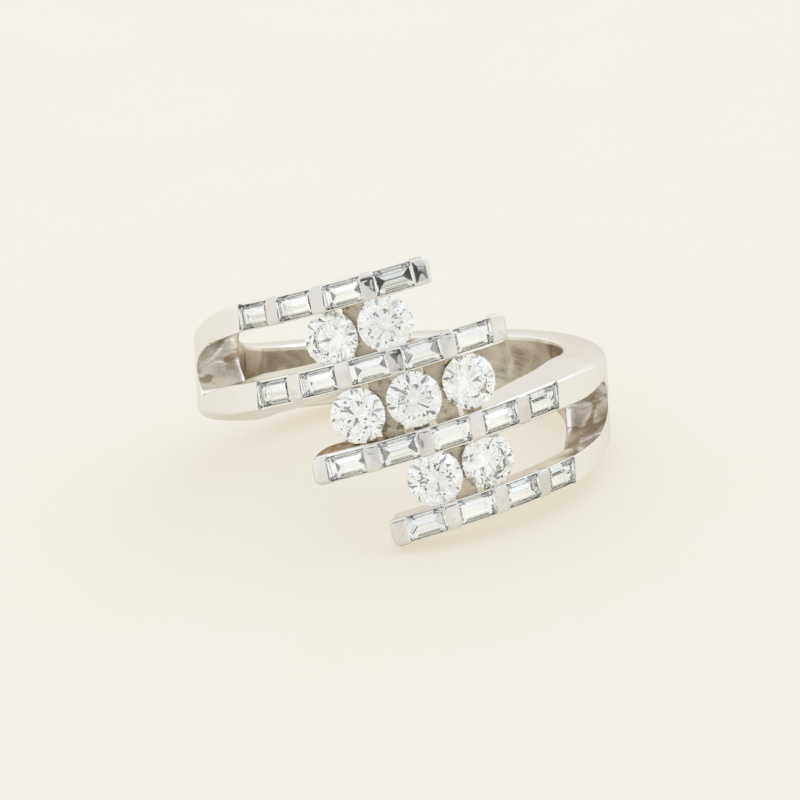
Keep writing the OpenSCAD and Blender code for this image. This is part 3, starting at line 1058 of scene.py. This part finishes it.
goldLooks = {
    "whiteGold": {
        "edge": (0.92, 0.905, 0.875),
        "colours": ((0.90, 0.888, 0.868), (0.93, 0.922, 0.908)),
        "torn": False, "patchScale": 260.0,
        "hazeScale": 420.0, "roughness": (0.06, 0.13), "lineScale": 900.0, "lineStretch": 9.0,
        "bump": 0.05, "bumpDepth": 0.02, "dulling": 0.13, "dullSpan": (-7.0, -3.0),
        # painted shade on the walls that face along the finger
        "sides": (0.85, 0.83, 0.79),
    },
    # the bore: wear in its roughness and bumps, painted shade in its dark tan colours
    "wornShadedBore": {
        "edge": (0.95, 0.93, 0.88),
        "colours": ((0.55, 0.50, 0.41), (0.82, 0.77, 0.68)),
        "torn": False, "patchScale": 520.0,
        "hazeScale": 500.0, "roughness": (0.2, 0.36), "lineScale": 700.0, "lineStretch": 6.0,
        "bump": 0.14, "bumpDepth": 0.05, "dulling": 0.0, "sides": None,
    },
    "cutSlot": {
        "edge": (0.80, 0.775, 0.72),
        "colours": ((0.90, 0.885, 0.86), (0.50, 0.42, 0.31)),
        "torn": True, "patchScale": 420.0,
        "hazeScale": 700.0, "roughness": (0.18, 0.34), "lineScale": 900.0, "lineStretch": 3.0,
        "bump": 0.3, "bumpDepth": 0.05, "dulling": 0.0, "sides": None,
    },
    # painted shade: the dark browns stand for the shadow in the gaps between bars, stones and
    # cross-bars
    "shadedRecess": {
        "edge": (0.55, 0.46, 0.34),
        "colours": ((0.56, 0.49, 0.39), (0.30, 0.235, 0.165)),
        "torn": True, "patchScale": 900.0,
        "hazeScale": 700.0, "roughness": (0.2, 0.4), "lineScale": 900.0, "lineStretch": 3.0,
        "bump": 0.4, "bumpDepth": 0.05, "dulling": 0.0, "sides": None,
    },
    # a darker copy of the white gold: painted shade on the cross-bars
    "shadedCrossBar": {
        "edge": (0.87, 0.86, 0.84),
        "colours": ((0.73, 0.715, 0.69), (0.80, 0.785, 0.76)),
        "torn": False, "patchScale": 600.0,
        "hazeScale": 700.0, "roughness": (0.05, 0.12), "lineScale": 900.0, "lineStretch": 5.0,
        "bump": 0.05, "bumpDepth": 0.02, "dulling": 0.0, "sides": None,
    },
}
golds = [metal(name, look) for name, look in goldLooks.items()]
bandOb.data.materials.clear()
for gold in golds:
    bandOb.data.materials.append(gold)
for p, choice in zip(bandOb.data.polygons, finishes):
    p.material_index = choice
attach(bandOb, "root")
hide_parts("ring_metal")

diamondLook = {
    "colours": ((0.96, 0.98, 0.97), (0.98, 1.0, 0.99)),
    "cloudScale": 900.0,
    "ior": 2.42,
}
diamond, tree, shader = finish("diamond")
shader.inputs["Roughness"].default_value = 0
shader.inputs["IOR"].default_value = diamondLook["ior"]
shader.inputs["Transmission Weight"].default_value = 1
clarity = placed(tree, cloud, Scale=diamondLook["cloudScale"])
tree.links.new(twoColours(tree, clarity, *diamondLook["colours"]), shader.inputs["Base Color"])
for stone in stones:
    stone.data.materials.append(diamond)
for name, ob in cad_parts.items():
    if "round" in name:
        for place in ob.material_slots:
            place.material = diamond
print("finishes set")

# floor, light and camera

floorLook = {
    "size": 3.0,
    # the paper's own colour, kept cool and low, since the glow below adds to it up to the backdrop
    "colours": ((0.292, 0.337, 0.377), (0.295, 0.340, 0.383)),
    # painted light: a warm glow from the paper itself, which lifts and warms the shadows on it
    "paintedFillGlow": (0.592, 0.514, 0.390),
    "roughness": 0.9,
    "specular": 0.1,
    "fibreScale": 90.0,
    "grainScale": 1800.0,
    "bump": 0.04,
    "bumpDepth": 0.05,
}
bm = bmesh.new()
floorHalf, floorHeight = floorLook["size"] / 2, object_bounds()[0][2]
bm.faces.new([bm.verts.new((x, y, floorHeight)) for x, y in box(floorHalf, floorHalf)])
floor = closed(bm, "floor")
paper, tree, shader = finish("paper")
shader.inputs["Roughness"].default_value = floorLook["roughness"]
shader.inputs["Specular IOR Level"].default_value = floorLook["specular"]
# painted light: the paper glows warm, so its shadows come out lighter and warmer
shader.inputs["Emission Color"].default_value = floorLook["paintedFillGlow"] + (1,)
shader.inputs["Emission Strength"].default_value = 1
fibres = placed(tree, cloud, Scale=floorLook["fibreScale"])
tree.links.new(twoColours(tree, fibres, *floorLook["colours"]), shader.inputs["Base Color"])
grain = placed(tree, cloud, Scale=floorLook["grainScale"])
bump(tree, shader, grain, floorLook["bump"], floorLook["bumpDepth"])
floor.data.materials.append(paper)

view = {
    "azimuth": -1.517,
    "elevation": 21.721,
    "tilt": 4.118,
    "distance": 400,
    "sensor": 36,
    "pixelsPerMm": 19.0,
    "imageSize": 800,
    "centreX": 402.2,
    "centreY": 382.2,
    "near": 0.01,
    "far": 20,
}


def direction(azimuth, elevation):
    flat = cosDeg(elevation)
    return Vector((sinDeg(azimuth) * flat, -cosDeg(azimuth) * flat, sinDeg(elevation)))


towards = direction(view["azimuth"], view["elevation"])
camData = bpy.data.cameras.new("camera")
cam = bpy.data.objects.new("camera", camData)
bpy.context.collection.objects.link(cam)
cam.rotation_mode = "QUATERNION"
cam.location = towards * view["distance"] * millimetre
level = (-towards).to_track_quat("-Z", "Y")
tilt = Matrix.Rotation(math.radians(-view["tilt"]), 3, "Z").to_quaternion()
cam.rotation_quaternion = level @ tilt
imageSize = view["imageSize"]
camData.sensor_width = view["sensor"]
camData.lens = view["sensor"] * view["distance"] * view["pixelsPerMm"] / imageSize
camData.shift_x = (imageSize / 2 - view["centreX"]) / imageSize
camData.shift_y = (view["centreY"] - imageSize / 2) / imageSize
camData.clip_start = view["near"]
camData.clip_end = view["far"]
bpy.context.scene.camera = cam

studio = {
    "strength": 1.03,
    "lowTint": (1.0, 0.97, 0.91),
    "highTint": (0.975, 0.985, 1.0),
    "tintSpan": (-0.1, 0.4),
    "lensSpot": 7.6,
    "lensEdge": (1.25, 0.85),
    "slitHalfWidth": 30.0,
    "slitSideEdge": (1.1, 0.8),
    "slitHalfHeight": 3.5,
    "slitTopEdge": (1.4, 0.7),
    "dark": 0.08,
    "dimFrom": 10.0,
    "dimTo": 34.0,
    "dim": 0.2,
    "standHalfWidth": 3.0,
    "standSideEdge": (1.3, 0.7),
    "standHalfHeight": 15.0,
    "standTopEdge": (1.2, 0.8),
}
world = bpy.data.worlds.new("studio")
bpy.context.scene.world = world
world.use_nodes = True
tree = world.node_tree
background = tree.nodes["Background"]
background.inputs["Strength"].default_value = studio["strength"]
coords = tree.nodes.new("ShaderNodeTexCoord").outputs["Generated"]


def towardsShare(way):
    node = tree.nodes.new("ShaderNodeVectorMath")
    node.operation = "DOT_PRODUCT"
    node.inputs[1].default_value = way
    tree.links.new(coords, node.inputs[0])
    return node.outputs["Value"]


def maths(operation, *values):
    node = tree.nodes.new("ShaderNodeMath")
    node.operation = operation
    for k, value in enumerate(values):
        if isinstance(value, (int, float)):
            node.inputs[k].default_value = value
        else:
            tree.links.new(value, node.inputs[k])
    return node.outputs["Value"]


def within(share, size, edge):
    # 1 inside an angle off the middle, softly down to 0 past it
    outer, inner = studio[edge]
    return remap(tree, share, sinDeg(studio[size] * outer), sinDeg(studio[size] * inner))


# the tent is warm near the table and cooler above
# its front has a dark lens, a level slit, an upright stand and a dim patch round them
rightWay = Vector((cosDeg(view["azimuth"]), sinDeg(view["azimuth"]), 0))
upWay = towards.cross(rightWay) * -1
front = towardsShare(towards)
wide = maths("ABSOLUTE", towardsShare(rightWay))
tall = maths("ABSOLUTE", towardsShare(upWay))
inFront = maths("GREATER_THAN", front, 0.0)
lensOuter, lensInner = studio["lensEdge"]
lens = remap(
    tree, front, cosDeg(studio["lensSpot"] * lensOuter), cosDeg(studio["lensSpot"] * lensInner)
)
slitAcross = within(wide, "slitHalfWidth", "slitSideEdge")
slitUp = within(tall, "slitHalfHeight", "slitTopEdge")
slit = maths("MULTIPLY", maths("MULTIPLY", slitAcross, slitUp), inFront)
standAcross = within(wide, "standHalfWidth", "standSideEdge")
standUp = within(tall, "standHalfHeight", "standTopEdge")
stand = maths("MULTIPLY", maths("MULTIPLY", standAcross, standUp), inFront)
dim = remap(tree, front, cosDeg(studio["dimTo"]), cosDeg(studio["dimFrom"]), 0.0, studio["dim"])
shade = maths("MAXIMUM", maths("MAXIMUM", maths("MAXIMUM", lens, slit), stand), dim)
height = remap(tree, towardsShare(Vector((0, 0, 1))), *studio["tintSpan"])
tint = twoColours(tree, height, studio["lowTint"], studio["highTint"])
dimmed = tree.nodes.new("ShaderNodeMix")
dimmed.data_type = "RGBA"
dimmed.inputs["B"].default_value = (studio["dark"], studio["dark"], studio["dark"], 1)
tree.links.new(shade, dimmed.inputs["Factor"])
tree.links.new(tint, dimmed.inputs["A"])
tree.links.new(dimmed.outputs["Result"], background.inputs["Color"])

keyLight = {
    "azimuth": 125,
    "elevation": 52,
    "distance": 0.5,
    "softness": 50,
    "power": 0.3,
    "colour": (0.62, 0.85, 1.0),
}
lightData = bpy.data.lights.new("key", "SUN")
lightData.angle = math.radians(keyLight["softness"])
lightData.energy = keyLight["power"]
lightData.color = keyLight["colour"]
key = bpy.data.objects.new("key", lightData)
bpy.context.collection.objects.link(key)
way = direction(keyLight["azimuth"], keyLight["elevation"])
key.location = way * keyLight["distance"]
key.rotation_mode = "QUATERNION"
key.rotation_quaternion = (-way).to_track_quat("-Z", "Y")

# light goes a long way inside clear stones
bounces = {"all": 24, "glossy": 16, "transmission": 24}
scene = bpy.context.scene
scene.view_settings.view_transform = "Standard"
scene.cycles.max_bounces = bounces["all"]
scene.cycles.glossy_bounces = bounces["glossy"]
scene.cycles.transmission_bounces = bounces["transmission"]
print("light and camera set")
